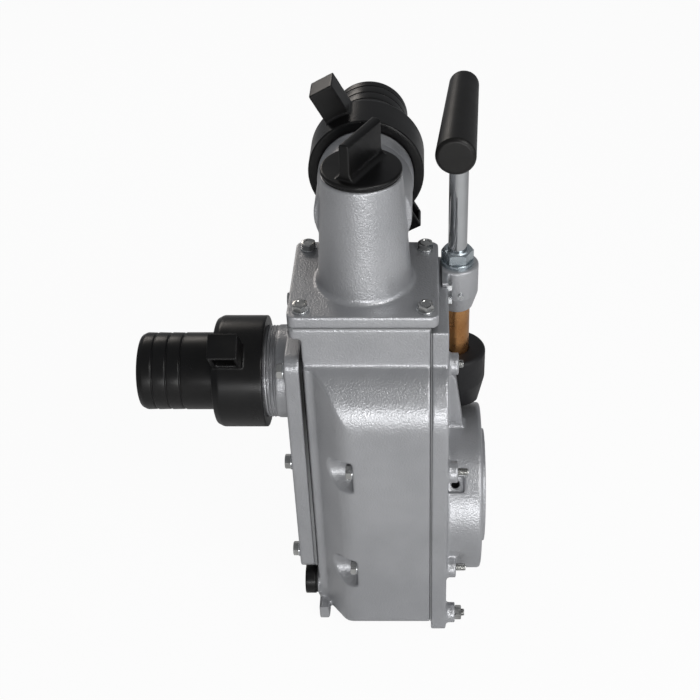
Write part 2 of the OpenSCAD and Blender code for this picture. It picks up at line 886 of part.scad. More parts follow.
// The bottom studs hold nuts, and the top one screws into its boss
module cover_studs() {
    color("dimgray") {
        bottom_studs_at() rod_x(m8_r, x_case_r - stud_in, x_flange + boss_h + thread_out);
        top_stud_at() rod_x(m8_r, x_case_r - stud_in, x_flange + boss_h + top_thread_out);
    }
}

module cover_nuts() {
    color("dimgray") bottom_studs_at() difference() {
        hex_x(m8_af, x_flange + boss_h, x_flange + boss_h + m8_nut_h);
        rod_x(m8_r, x_flange + boss_h - cut, x_flange + boss_h + m8_nut_h + cut);
    }
}

// Spiral of the volute, drawn out by w: the radius grows from the tongue to the throat
function spiral(w) = [
    for (i = [0:spiral_steps])
        let (
            a = volute_start + (360 - volute_start) * i / spiral_steps,
            r = w + volute_start_r + (volute_end_r - volute_start_r) * i / spiral_steps
        )
        r * [cos(a), sin(a)]
];
function volute_points(w, top) =
    concat(spiral(w), [[volute_end_r + w, top], [throat_in - w, top]]);

module volute() {
    color("silver") difference() {
        union() {
            prism_x(volute_points(volute_wall, throat_top), x_volute_front, x_rear);
            rod_x(volute_neck_r, x_partition + seat_gap, x_volute_front);
        }
        prism_x(volute_points(0, throat_top + cut), x_volute, x_rear + cut);
        rod_x(eye_r + vane_gap, x_partition - cut, x_volute + cut);
        difference() {
            rod_x(volute_neck_r + cut, x_ring - ring_wire_r - ring_side_gap,
                x_ring + ring_wire_r + ring_side_gap);
            rod_x(volute_neck_r + neck_seat_gap - 2 * ring_wire_r, x_partition, x_volute_front);
        }
    }
}

module volute_o_ring() {
    color([0.05, 0.05, 0.05]) translate([x_ring, 0, 0]) rotate([0, 90, 0]) rotate_extrude()
        translate([volute_neck_r + neck_seat_gap - ring_wire_r, 0]) circle(r = ring_wire_r);
}

module tube_x(r, bore, x0, x1) {
    difference() {
        rod_x(r, x0, x1);
        rod_x(bore, x0 - cut, x1 + cut);
    }
}

module seal_seat() {
    color("whitesmoke") tube_x(seat_r, shaft_r + clear_gap, x_rear, x_slinger);
}

module lip_seal() {
    color([0.1, 0.1, 0.1]) tube_x(lip_r, shaft_collar_r + run_gap, x_lip, x_bearing_l);
}

module bearings_at() {
    for (x = [x_bearing_l + bearing_w / 2, x_bearing_r - bearing_w / 2])
        translate([x, 0, 0]) rotate([0, 90, 0]) children();
}
module race(r0, r1) {
    rotate_extrude() difference() {
        translate([r0, -bearing_w / 2]) square([r1 - r0, bearing_w]);
        translate([ball_pitch_r, 0]) circle(r = ball_r + ball_play);
    }
}

module bearing_outer_rings() {
    color("lightsteelblue") bearings_at() race(race_out_r, bearing_r);
}

module bearing_inner_rings() {
    color("lightsteelblue") bearings_at() race(shaft_r, race_in_r);
}

module balls_at() {
    for (i = [0:balls - 1]) rotate([0, 0, i * 360 / balls]) translate([ball_pitch_r, 0, 0]) children();
}

module bearing_balls() {
    color("gainsboro") bearings_at() balls_at() sphere(r = ball_r);
}

module bearing_cages() {
    color("goldenrod") bearings_at() difference() {
        translate([0, 0, -cage_w / 2]) cylinder(r = ball_pitch_r + cage_t / 2, h = cage_w);
        translate([0, 0, -cage_w / 2 - cut])
            cylinder(r = ball_pitch_r - cage_t / 2, h = cage_w + 2 * cut);
        balls_at() rotate([0, 90, 0]) cylinder(r = ball_r + run_gap, h = 2 * cage_t, center = true);
    }
}

module bearing_circlip() {
    color("dimgray") difference() {
        tube_x(clip_r - loose_gap / 2, clip_in_r, x_bearing_r, x_bearing_r + clip_t);
        for (a = [-clip_gap_deg / 2:clip_gap_deg / 4:clip_gap_deg / 2])
            rotate([a, 0, 0]) block(x_bearing_r - cut, x_bearing_r + clip_t + cut,
                -clip_slot, clip_slot, clip_in_r - cut, clip_r + cut);
    }
}

module shaft() {
    color("lightgray") difference() {
        turned_x([
            [0, x_shaft_nose], [impeller_seat_r, x_shaft_nose], [impeller_seat_r, x_impeller_back],
            [shaft_r, x_impeller_back], [shaft_r, x_slinger], [shaft_collar_r, x_slinger],
            [shaft_collar_r, x_bearing_l], [shaft_r, x_bearing_l], [shaft_r, x_bearing_r],
            [shaft_tail_r, x_bearing_r], [shaft_tail_r, 0], [0, 0]
        ]);
        rod_x(drive_r, -drive_depth, cut);
        block(-key_len, cut, -key_w / 2, key_w / 2, 0, drive_r + key_h);
        rod_x(m8_r, x_shaft_nose - cut, x_shaft_nose + stud_in / 2);
    }
}

// One vane: its middle line runs out along a spiral, and its sides lie half a thickness away
function vane_side(s) = [
    for (i = [0:vane_steps])
        let (
            r = vane_in_r + (impeller_r - vane_tip - vane_in_r) * i / vane_steps,
            a = -vane_sweep * pow(i / vane_steps, vane_curve_share) + s * vane_t / 2 / r * 180 / PI
        )
        r * [cos(a), sin(a)]
];
function vane_points() =
    concat(vane_side(-1), [for (i = [vane_steps:-1:0]) vane_side(1)[i]]);

module impeller() {
    color("gray") difference() {
        union() {
            rod_x(impeller_r, x_vane, x_impeller_back);
            turned_x([
                [0, x_shaft_nose], [hub_wet_r - volute_wall, x_shaft_nose], [hub_wet_r, x_vane - vane_h / 2],
                [hub_wet_r + volute_wall, x_vane], [0, x_vane]
            ]);
            for (i = [0:vanes - 1]) rotate([i * 360 / vanes, 0, 0])
                prism_x(vane_points(), x_vane - vane_h, x_vane);
        }
        rod_x(impeller_seat_r, x_shaft_nose - cut, x_impeller_back + cut);
    }
}

module impeller_washer() {
    color("silver") tube_x(impeller_seat_r + washer_t, m8_r + run_gap, x_shaft_nose - washer_t, x_shaft_nose);
}

module impeller_bolt() {
    color("dimgray") {
        hex_x(m8_af, x_shaft_nose - washer_t - m8_head_h, x_shaft_nose - washer_t);
        rod_x(m8_r, x_shaft_nose - washer_t, x_shaft_nose + stud_in / 2 - cut);
    }
}

module seal_head() {
    color("darkslategray") tube_x(seal_head_r, shaft_r, x_impeller_back, x_rear);
}

module valve_pin() {
    color("silver") rod_y(pin_r, -ear_y - ear_t, ear_y + ear_t, pin_x, pin_z);
}

// The flap hangs from its pin, against the seat ring
module valve_flap() {
    color([0.08, 0.08, 0.08]) difference() {
        union() {
            rod_x(flap_r, x_flap, x_flap + flap_t, 0, inlet_z);
            block(x_flap, x_flap + flap_t, -knuckle_len / 2, knuckle_len / 2, inlet_z, pin_z);
        }
        rod_x(rivet_r, x_flap - cut, x_flap + flap_t + cut, 0, inlet_z);
        rod_y(knuckle_r + run_gap, -knuckle_len, knuckle_len, pin_x, pin_z);
    }
}

module valve_weight() {
    x0 = x_flap + flap_t;
    color("darkgray") difference() {
        union() {
            rod_x(weight_r, x0, x0 + weight_t, 0, inlet_z);
            block(x0, x0 + weight_t, -knuckle_len / 2, knuckle_len / 2, inlet_z, pin_z);
            rod_y(knuckle_r, -knuckle_len / 2, knuckle_len / 2, pin_x, pin_z);
        }
        rod_y(pin_r + run_gap, -knuckle_len, knuckle_len, pin_x, pin_z);
        rod_x(rivet_r, x0 - cut, x0 + weight_t + cut, 0, inlet_z);
    }
}

module valve_rivet() {
    color("silver") {
        rod_x(rivet_r, x_flap - rivet_head_h, x_flap + flap_t + weight_t, 0, inlet_z);
        rod_x(rivet_head_r, x_flap - rivet_head_h, x_flap, 0, inlet_z);
        rod_x(rivet_head_r, x_flap + flap_t + weight_t,
            x_flap + flap_t + weight_t + rivet_head_h, 0, inlet_z);
    }
}

// Hose unions are drawn along +Z from the end of the stub, the nut reaching back over its thread
module union_nut_form() {
    color([0.12, 0.12, 0.12]) difference() {
        union() {
            translate([0, 0, -thread_engage]) rotate_extrude() polygon([
                [0, 0], [nut_r, 0], [nut_r, nut_len - 2 * nut_edge],
                [nut_r - nut_edge, nut_len], [0, nut_len]
            ]);
            for (a = [0, 180]) rotate([0, 0, a])
                block(0, wing_reach, -wing_w / 2, wing_w / 2,
                    wing_inset - thread_engage, wing_inset + wing_len - thread_engage);
        }
        for (a = [0, 180]) rotate([0, 0, a])
            block(nut_r + wing_floor, wing_reach - wing_wall, -wing_w, wing_w / 2 - wing_wall,
                wing_inset + wing_wall - thread_engage, wing_inset + wing_len - wing_wall - thread_engage);
        translate([0, 0, -thread_engage - cut])
            cylinder(r = thread_r + nut_thread_gap, h = nut_len - union_wall + cut);
        cylinder(r = tail_r + clear_gap, h = nut_len);
    }
}
module hose_tail_form() {
    z0 = union_washer_t;
    z1 = z0 + union_flange_t;
    z_root = nut_len - thread_engage + seat_gap;
    z2 = nut_len - thread_engage + tail_len;
    color([0.12, 0.12, 0.12]) difference() {
        rotate_extrude() polygon(concat(
            [[0, z0], [union_flange_r, z0], [union_flange_r, z1], [tail_r - tail_root_step, z1],
                [tail_r - tail_root_step, z_root], [tail_r, z_root]],
            [for (i = [ring_count:-1:1], p = [[0, -1], [1, -1], [1, 1], [0, 1]])
                [tail_r - ring_groove * p[0],
                 z2 - i * ring_pitch + (ring_w + ring_groove * (1 - p[0])) / 2 * p[1]]],
            [[tail_r, z2 - tail_edge], [tail_r - tail_edge, z2], [0, z2]]
        ));
        translate([0, 0, z0 - cut]) cylinder(r = tail_bore_r, h = z2);
    }
}
module union_washer_form() {
    color([0.05, 0.05, 0.05]) difference() {
        cylinder(r = union_flange_r, h = union_washer_t);
        translate([0, 0, -cut]) cylinder(r = inlet_port_r, h = union_washer_t + 2 * cut);
    }
}
module at_inlet(turn = 0) {
    translate([x_cover_out - inlet_stub, 0, inlet_z]) rotate([0, -90, 0]) rotate([0, 0, turn]) children();
}
module at_discharge(turn = 0) {
    translate([x_outlet, branch_len, z_branch]) rotate([-90, 0, 0]) rotate([0, 0, turn]) children();
}

module inlet_union_nut() { at_inlet(inlet_wing_turn) union_nut_form(); }
module inlet_hose_tail() { at_inlet() hose_tail_form(); }
module inlet_union_washer() { at_inlet() union_washer_form(); }
module discharge_union_nut() { at_discharge(discharge_wing_turn) union_nut_form(); }
module discharge_hose_tail() { at_discharge() hose_tail_form(); }
module discharge_union_washer() { at_discharge() union_washer_form(); }

// Right side of the cap's wing, from its flared root to its rounded top
function cap_wing_side() = concat(
    [[cap_wing_t / 2 + cap_wing_flare, cap_disc_t / 2]],
    arc([cap_wing_t / 2 + cap_wing_flare, cap_disc_t - cap_wing_sunk + cap_wing_flare],
        cap_wing_flare, 270, 180, corner_steps),
    arc([cap_wing_t / 2 - cap_wing_round, cap_disc_t + cap_wing_h - cap_wing_round],
        cap_wing_round, 0, 90, corner_steps)
);

// Filler cap: a shallow dome, a threaded skirt and a wing that flares at its root
module filler_cap() {
    z0 = z_neck_top + cap_seal_t;
    color([0.12, 0.12, 0.12]) translate([x_outlet, 0, z0]) difference() {
        union() {
            rotate_extrude() polygon([
                [0, 0], [cap_r - cap_dome, 0], [cap_r, cap_dome], [cap_r, cap_disc_t - cap_dome],
                [cap_r - cap_dome, cap_disc_t], [0, cap_disc_t]
            ]);
            translate([0, 0, -cap_skirt_h]) cylinder(r = filler_thread_r - loose_gap, h = cap_skirt_h);
            rotate([0, 0, -cap_turn])
                prism_y(both_halves(cap_wing_side()), -cap_wing_len / 2, cap_wing_len / 2);
        }
        translate([0, 0, -cap_skirt_h - cut])
            cylinder(r = filler_thread_r - loose_gap - cap_skirt_t, h = cap_skirt_h + cut);
    }
}

module filler_cap_seal() {
    color([0.05, 0.05, 0.05]) difference() {
        rod_z(neck_top_r - cap_dome, z_neck_top, z_neck_top + cap_seal_t, x_outlet, 0);
        rod_z(filler_thread_r + seat_gap, z_neck_top - cut, z_neck_top + cap_seal_t + cut, x_outlet, 0);
    }
}

module drain_plug() {
    x1 = x_case_l - drain_boss_h - drain_washer_t;
    color([0.1, 0.1, 0.1]) difference() {
        union() {
            rod_x(drain_head_r, x1 - drain_head_h, x1, drain_y, drain_z);
            rod_x(drain_thread_r - run_gap, x1, x_case_l + drain_in, drain_y, drain_z);
        }
        hex_x(drain_key_af, x1 - drain_head_h - cut, x1 - drain_head_h + drain_key_depth, drain_y, drain_z);
    }
}

module drain_washer() {
    color("black") translate([0, drain_y, drain_z])
        tube_x(drain_head_r - cut, drain_thread_r + run_gap,
            x_case_l - drain_boss_h - drain_washer_t, x_case_l - drain_boss_h);
}

module primer_at() {
    translate([primer_x, primer_y, 0]) children();
}

module primer_head() {
    color("silver") difference() {
        union() {
            primer_at() translate([0, 0, head_top]) rotate_extrude() polygon([
                [0, 0], [head_r - head_rim, 0], [head_r, -head_rim], [head_r, -head_straight],
                [head_foot_r, -head_straight - head_foot_h], [0, -head_straight - head_foot_h]
            ]);
            block(x_step, x_step + lug_t, lug_y - lug_w / 2, primer_y, head_top - lug_h - head_rim,
                head_top - head_rim);
        }
        block(x_step - head_r, x_step, primer_y - head_r - lug_w, primer_y + head_r + cut,
            head_top - head_straight - head_foot_h - cut, head_top + cut);
        rod_z(barrel_r, head_top - head_straight - head_foot_h - cut, barrel_top, primer_x, primer_y);
        rod_z(rod_r + loose_gap, barrel_top - cut, head_top + cut, primer_x, primer_y);
        for (z = head_screw_z) rod_x(m6_r + loose_gap, x_step - cut, x_step + lug_t + cut, lug_y, z);
        rod_y(vent_r + loose_gap, primer_y - head_r - cut, primer_y - head_r + vent_seat, vent_x, vent_z);
        rod_y(vent_r - vent_step, primer_y - head_r - cut, primer_y - head_r + vent_in, vent_x, vent_z);
    }
}

module primer_head_screws() {
    color("silver") for (z = head_screw_z) {
        hex_x(m6_af, x_step + lug_t, x_step + lug_t + m6_head_h, lug_y, z);
        rod_x(m6_r, x_step - head_screw_in, x_step + lug_t, lug_y, z);
    }
}

module primer_vent_screw() {
    color("silver") {
        rod_y(vent_r, primer_y - head_r - vent_out, primer_y - head_r + vent_seat, vent_x, vent_z);
        rod_y(vent_r - vent_step, primer_y - head_r + vent_seat, primer_y - head_r + vent_in, vent_x, vent_z);
    }
}

module primer_gland_nut() {
    color("lightsteelblue") primer_at() difference() {
        union() {
            hex_z(gland_af, head_top + gland_skirt, head_top + gland_h);
            rod_z(gland_in_r, head_top, head_top + gland_skirt);
        }
        rod_z(rod_r + run_gap, head_top - cut, head_top + gland_h + cut);
        rod_z(packing_r, head_top - cut, head_top + packing_t);
    }
}

module primer_packing() {
    color("dimgray") primer_at() difference() {
        rod_z(packing_r, head_top, head_top + packing_t);
        rod_z(rod_r + run_gap, head_top - cut, head_top + packing_t + cut);
    }
}

module primer_barrel() {
    color("peru") primer_at() difference() {
        rod_z(barrel_r, barrel_bottom, barrel_top);
        rod_z(barrel_r - barrel_wall, barrel_bottom - cut, barrel_top + cut);
    }
}

// The valve box narrows downward and is cut to stand clear of the drum
module primer_foot() {
    color([0.1, 0.1, 0.1]) difference() {
        primer_at() translate([0, 0, foot_low]) rotate_extrude() polygon([
            [0, 0], [foot_low_r, 0], [foot_r, foot_top - foot_low - foot_wide_h],
            [foot_r, foot_top - foot_low - grip_round], [foot_r - grip_round, foot_top - foot_low],
            [0, foot_top - foot_low]
        ]);
        block(x_step - foot_r, x_step, primer_y - foot_r - cut, primer_y + foot_r + cut,
            foot_low - cut, foot_top + cut);
        rod_x(drum_r + saddle_gap, x_step - cut, cut);
        primer_at() {
            rod_z(barrel_r, barrel_bottom, foot_top + cut);
            rod_z(disc_r + loose_gap, barrel_bottom - disc_chamber, barrel_bottom + cut);
        }
        rod_x(foot_port_r, x_step - cut, primer_x, primer_y, barrel_bottom - disc_chamber - foot_port_r);
        rod_z(foot_port_r, barrel_bottom - disc_chamber - 2 * foot_port_r, barrel_bottom - disc_chamber + cut,
            primer_x, primer_y);
        for (z = foot_screw_z) {
            rod_x(m6_r + loose_gap, x_step - cut, primer_x + foot_r, primer_y + foot_screw_y, z);
            rod_x(m6_washer_r + loose_gap, primer_x + foot_bore_depth, primer_x + foot_r,
                primer_y + foot_screw_y, z);
        }
    }
}

module primer_foot_screws() {
    color("silver") for (z = foot_screw_z) {
        hex_x(m6_af, primer_x + foot_bore_depth, primer_x + foot_bore_depth + m6_head_h,
            primer_y + foot_screw_y, z);
        rod_x(m6_r, x_step - foot_screw_in, primer_x + foot_bore_depth, primer_y + foot_screw_y, z);
    }
}

module primer_valve_disc() {
    color([0.2, 0.2, 0.2]) primer_at()
        rod_z(disc_r, barrel_bottom - disc_chamber, barrel_bottom - disc_chamber + disc_t);
}

module primer_rod() {
    color("gainsboro") primer_at() difference() {
        rod_z(rod_r, piston_low + piston_t, grip_z);
        rotate([0, 0, -grip_turn]) rod_y(bar_r, -rod_r - cut, rod_r + cut, 0, grip_z);
        rod_z(m6_r, piston_low, piston_low + piston_t + rod_screw_in);
    }
}

module primer_piston() {
    color("goldenrod") primer_at() {
        difference() {
            rod_z(barrel_r - barrel_wall - piston_gap, piston_low, piston_low + piston_t);
            difference() {
                rod_z(barrel_r, piston_low + cup_t, piston_low + 2 * cup_t);
                rod_z(rod_r - cut, piston_low, piston_low + piston_t);
            }
        }
        rod_z(m6_r, piston_low + piston_t, piston_low + piston_t + rod_screw_in);
    }
}

module primer_cup() {
    color([0.1, 0.1, 0.1]) primer_at() difference() {
        rod_z(barrel_r - barrel_wall - run_gap / 2, piston_low + cup_t, piston_low + 2 * cup_t);
        rod_z(rod_r - cut, piston_low, piston_low + piston_t);
    }
}

module grip_at() {
    primer_at() translate([0, 0, grip_z]) rotate([0, 0, -grip_turn]) children();
}

module primer_bar() {
    color("gainsboro") grip_at() rod_y(bar_r, -grip_len / 2 + bar_end_wall, grip_len / 2 - bar_end_wall);
}

module primer_grip() {
    color([0.12, 0.12, 0.12]) difference() {
        grip_at() difference() {
            translate([0, -grip_len / 2, 0]) rotate([-90, 0, 0]) rotate_extrude() polygon([
                [0, 0], [grip_r - grip_round, 0], [grip_r, grip_round],
                [grip_far_r, grip_len - grip_round], [grip_far_r - grip_round, grip_len], [0, grip_len]
            ]);
            rod_y(bar_r, -grip_len / 2 + bar_end_wall, grip_len / 2 - bar_end_wall);
        }
        primer_at() rod_z(rod_r, grip_z - 2 * grip_r, grip_z);
    }
}

casing();
inlet_cover();
inlet_gasket();
inlet_cover_bolts();
inlet_cover_washers();
outlet_body();
outlet_gasket();
outlet_bolts();
outlet_washers();
rear_cover();
rear_gasket();
through_bolts();
through_washers();
cover_studs();
cover_nuts();
volute();
volute_o_ring();
seal_seat();
lip_seal();
bearing_outer_rings();
bearing_circlip();
shaft();
impeller();
impeller_bolt();
impeller_washer();
seal_head();
bearing_inner_rings();
bearing_cages();
bearing_balls();
valve_pin();
valve_flap();
valve_weight();
valve_rivet();
inlet_union_nut();
inlet_hose_tail();
inlet_union_washer();
discharge_union_nut();
discharge_hose_tail();
discharge_union_washer();
filler_cap();
filler_cap_seal();
drain_plug();
drain_washer();
primer_head();
primer_head_screws();
primer_vent_screw();
primer_gland_nut();
primer_packing();
primer_barrel();
primer_foot();
primer_foot_screws();
primer_valve_disc();
primer_rod();
primer_piston();
primer_cup();
primer_bar();
primer_grip();
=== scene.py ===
"""Self-priming water pump end in silver paint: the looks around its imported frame."""
import json
import math

import bmesh
import bpy
from mathutils import Matrix, Vector


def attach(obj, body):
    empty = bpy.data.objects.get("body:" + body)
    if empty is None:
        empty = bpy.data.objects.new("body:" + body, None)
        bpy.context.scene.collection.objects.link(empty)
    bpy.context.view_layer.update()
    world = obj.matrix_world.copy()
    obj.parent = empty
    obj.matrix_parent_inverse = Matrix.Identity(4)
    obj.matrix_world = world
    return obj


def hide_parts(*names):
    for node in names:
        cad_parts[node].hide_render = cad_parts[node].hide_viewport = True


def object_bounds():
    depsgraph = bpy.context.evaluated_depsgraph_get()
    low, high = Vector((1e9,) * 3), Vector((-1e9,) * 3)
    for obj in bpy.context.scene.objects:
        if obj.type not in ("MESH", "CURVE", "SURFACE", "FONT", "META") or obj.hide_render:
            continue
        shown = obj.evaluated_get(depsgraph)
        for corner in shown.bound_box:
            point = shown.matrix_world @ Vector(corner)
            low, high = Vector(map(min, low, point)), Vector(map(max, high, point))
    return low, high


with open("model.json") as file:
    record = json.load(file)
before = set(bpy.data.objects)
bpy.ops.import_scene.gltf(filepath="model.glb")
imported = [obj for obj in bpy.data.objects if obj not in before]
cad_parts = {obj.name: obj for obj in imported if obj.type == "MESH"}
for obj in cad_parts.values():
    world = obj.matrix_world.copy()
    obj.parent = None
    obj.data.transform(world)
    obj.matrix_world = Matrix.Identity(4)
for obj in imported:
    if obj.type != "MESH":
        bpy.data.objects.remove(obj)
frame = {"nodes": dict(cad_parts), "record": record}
CAD_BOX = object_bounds()
NODES = frame["nodes"]

MM = 0.001
TINY, SAME = 1e-6, 1e-9

# Facets of a turn: fine, of hose tails and their threads, of rods, and of washers
TURN_FN, TAIL_FN, ROD_FN, WASHER_FN = 72, 96, 32, 48


# ---------------------------------------------------------------- materials
def mix_colour(nt, factor, a, b):
    """A colour mixed from a to b by the factor socket."""
    mix = nt.nodes.new("ShaderNodeMix")
    mix.data_type = "RGBA"
    nt.links.new(factor, mix.inputs["Factor"])
    mix.inputs["A"].default_value = (*a, 1)
    mix.inputs["B"].default_value = (*b, 1)
    return mix.outputs["Result"]


def ranged(nt, value, low, high, frm=0.0, to=1.0):
    """The value socket mapped from frm..to onto low..high."""
    node = nt.nodes.new("ShaderNodeMapRange")
    nt.links.new(value, node.inputs["Value"])
    node.inputs["From Min"].default_value = frm
    node.inputs["From Max"].default_value = to
    node.inputs["To Min"].default_value = low
    node.inputs["To Max"].default_value = high
    return node.outputs["Result"]


def cloud(nt, scale, detail=3.0, stretch=None):
    """Noise in object space, its features 1 / scale metres across."""
    place = nt.nodes.new("ShaderNodeTexCoord").outputs["Object"]
    if stretch:
        mapping = nt.nodes.new("ShaderNodeMapping")
        nt.links.new(place, mapping.inputs["Vector"])
        mapping.inputs["Scale"].default_value = stretch
        place = mapping.outputs["Vector"]
    tex = nt.nodes.new("ShaderNodeTexNoise")
    nt.links.new(place, tex.inputs["Vector"])
    tex.inputs["Scale"].default_value = scale
    tex.inputs["Detail"].default_value = detail
    tex.inputs["Roughness"].default_value = 0.5
    return tex.outputs["Fac"]


def bumped(nt, height, strength, distance, normal=None):
    """A bump of that height socket, over another normal if given."""
    node = nt.nodes.new("ShaderNodeBump")
    node.inputs["Strength"].default_value = strength
    node.inputs["Distance"].default_value = distance
    nt.links.new(height, node.inputs["Height"])
    if normal:
        nt.links.new(normal, node.inputs["Normal"])
    return node.outputs["Normal"]


def new_material(name, metallic=0.0, rough=0.5, specular=0.5):
    """A material with its node tree and its shader."""
    mat = bpy.data.materials.new(name)
    mat.use_nodes = True
    nt = mat.node_tree
    bsdf = nt.nodes["Principled BSDF"]
    bsdf.inputs["Metallic"].default_value = metallic
    bsdf.inputs["Roughness"].default_value = rough
    bsdf.inputs["Specular IOR Level"].default_value = specular
    return mat, nt, bsdf


# The parts of a noise's range that the colour and the roughness follow
COLOUR_SPAN, ROUGH_SPAN = (0.35, 0.65), (0.3, 0.7)
ROUGH_FINER = 4  # the roughness varies over patches this many times smaller


def surface(name, dark, light, rough, grain, metallic=0.0, specular=0.5, patch=14.0,
            broad=None, stretch=None):
    """Colour drifting between dark and light, roughness between rough's ends, and bumps.

    grain is (scale, strength, distance) of the fine bump, broad of a second, wider one.
    """
    mat, nt, bsdf = new_material(name, metallic, rough[0], specular)
    drift = ranged(nt, cloud(nt, patch, 4.0), 0, 1, *COLOUR_SPAN)
    nt.links.new(mix_colour(nt, drift, dark, light), bsdf.inputs["Base Color"])
    sheen = ranged(nt, cloud(nt, patch * ROUGH_FINER), *rough, *ROUGH_SPAN)
    nt.links.new(sheen, bsdf.inputs["Roughness"])
    normal = bumped(nt, cloud(nt, grain[0], 4.0, stretch), grain[1], grain[2])
    if broad:
        normal = bumped(nt, cloud(nt, broad[0]), broad[1], broad[2], normal)
    nt.links.new(normal, bsdf.inputs["Normal"])
    return mat


PAINT = surface("silver_paint", (0.40, 0.405, 0.42), (0.465, 0.47, 0.485), (0.30, 0.38),
                (560, 0.64, 0.00065), metallic=0.62, specular=0.5, broad=(170, 0.22, 0.0006))
SEAM = surface("painted_gasket", (0.28, 0.285, 0.29), (0.33, 0.335, 0.34), (0.5, 0.6),
               (900, 0.3, 0.0002), metallic=0.3)
MACHINED = surface("turned_alloy", (0.50, 0.505, 0.51), (0.60, 0.605, 0.61), (0.26, 0.36),
                   (2400, 0.12, 0.00006), metallic=0.9)
IRON = surface("bare_iron", (0.20, 0.20, 0.205), (0.30, 0.30, 0.305), (0.5, 0.62),
               (900, 0.4, 0.0002), metallic=0.8)
BLACK = surface("black_moulding", (0.0040, 0.0040, 0.0044), (0.0070, 0.0066, 0.0064), (0.27, 0.36),
                (1900, 0.12, 0.00006), specular=0.32, broad=(60, 0.05, 0.0005))
GRIP = surface("black_grip", (0.0040, 0.0038, 0.0036), (0.0075, 0.0068, 0.0062), (0.34, 0.42),
               (1300, 0.2, 0.0001), specular=0.32, broad=(90, 0.06, 0.0005))
FOOT = surface("black_cast_foot", (0.010, 0.010, 0.011), (0.018, 0.018, 0.019), (0.42, 0.56),
               (900, 0.4, 0.0002), specular=0.3, broad=(150, 0.3, 0.0007))
RUBBER = surface("black_rubber", (0.006, 0.006, 0.006), (0.012, 0.012, 0.012), (0.62, 0.75),
                 (1200, 0.2, 0.0001), specular=0.3)
STEEL = surface("bright_steel", (0.42, 0.42, 0.41), (0.60, 0.60, 0.585), (0.16, 0.26),
                (1600, 0.12, 0.00005), metallic=1.0, patch=90)
ZINC = surface("zinc_plate", (0.50, 0.515, 0.525), (0.66, 0.67, 0.675), (0.22, 0.34),
               (1600, 0.15, 0.00006), metallic=0.95, patch=60)
DARK_BOLT = surface("dark_bolt", (0.10, 0.10, 0.105), (0.20, 0.20, 0.205), (0.28, 0.40),
                    (1600, 0.15, 0.00006), metallic=0.9, patch=60)
GLAND = surface("blue_zinc", (0.40, 0.455, 0.49), (0.55, 0.60, 0.63), (0.20, 0.32),
                (1600, 0.12, 0.00005), metallic=0.9, patch=50)
CHROME = surface("hard_chrome", (0.50, 0.51, 0.52), (0.58, 0.59, 0.60), (0.07, 0.13),
                 (700, 0.04, 0.00004), metallic=1.0, stretch=(1, 1, 9))
BRASS = surface("drawn_brass", (0.42, 0.20, 0.075), (0.58, 0.31, 0.13), (0.24, 0.36),
                (900, 0.1, 0.00006), metallic=0.95, patch=40)
BEARING = surface("bearing_steel", (0.60, 0.60, 0.61), (0.70, 0.70, 0.71), (0.12, 0.2),
                  (1500, 0.05, 0.00004), metallic=1.0)
CERAMIC = surface("white_ceramic", (0.80, 0.79, 0.76), (0.87, 0.86, 0.83), (0.18, 0.26),
                  (900, 0.05, 0.00004))

SLOT_MATERIAL = {
    "silver_casting": PAINT, "inner_iron": IRON, "black_moulding": BLACK,
    "black_rubber": RUBBER, "zinc_steel": ZINC, "dark_steel": DARK_BOLT,
    "gland_zinc": GLAND, "bearing_steel": BEARING, "cage_brass": BRASS,
    "barrel_brass": BRASS, "shaft_steel": MACHINED, "rod_chrome": CHROME,
    "flap_weight": IRON, "seal_ceramic": CERAMIC, "seal_body": RUBBER,
}
SLOT_OF = {s["node"]: s["material_slot"] for s in frame["record"]["subparts"]}
BODY_OF = {n: b for b, ns in frame["record"]["behaviour"]["bodies"].items() for n in ns}
for node_name, node in NODES.items():
    mat = SLOT_MATERIAL[SLOT_OF[node_name]]
    for held in node.material_slots:
        held.material = mat
    if not node.data.materials:
        node.data.materials.append(mat)


# ---------------------------------------------------------------- mesh helpers
def settle(name, bm, mat, like, smooth_deg, replaced=()):
    """Makes an object of bm that rides as the node like does, in place of the replaced nodes."""
    bmesh.ops.recalc_face_normals(bm, faces=bm.faces)
    me = bpy.data.meshes.new(name)
    bm.to_mesh(me)
    bm.free()
    dress(bpy.data.objects.new(name, me), mat, like, smooth_deg, replaced)


def dress(obj, mat, like, smooth_deg, replaced=()):
    """Gives obj its material, shading and body, and hides the nodes that it replaces."""
    if obj.name not in bpy.context.scene.collection.objects:
        bpy.context.scene.collection.objects.link(obj)
    me = obj.data
    me.materials.clear()
    me.materials.append(mat)
    for p in me.polygons:
        p.use_smooth = True
    me.set_sharp_from_angle(angle=math.radians(smooth_deg))
    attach(obj, BODY_OF[like])
    for node in replaced:
        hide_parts(node)


def frame_x(x, y, z, sign=1):
    """A placement at a point in mm whose Z runs along +X, or -X with sign -1."""
    return Matrix.Translation(Vector((x, y, z)) * MM) @ Matrix.Rotation(sign * math.pi / 2, 4, "Y")


def frame_y(x, y, z):
    """A placement at a point in mm whose Z runs along +Y."""
    return Matrix.Translation(Vector((x, y, z)) * MM) @ Matrix.Rotation(-math.pi / 2, 4, "X")


def frame_z(x, y, z):
    """A placement at a point in mm whose Z runs along +Z."""
    return Matrix.Translation(Vector((x, y, z)) * MM)


EASE_STEPS = 4
LEG_SHARE = 0.98  # the most of a leg that a rounding takes


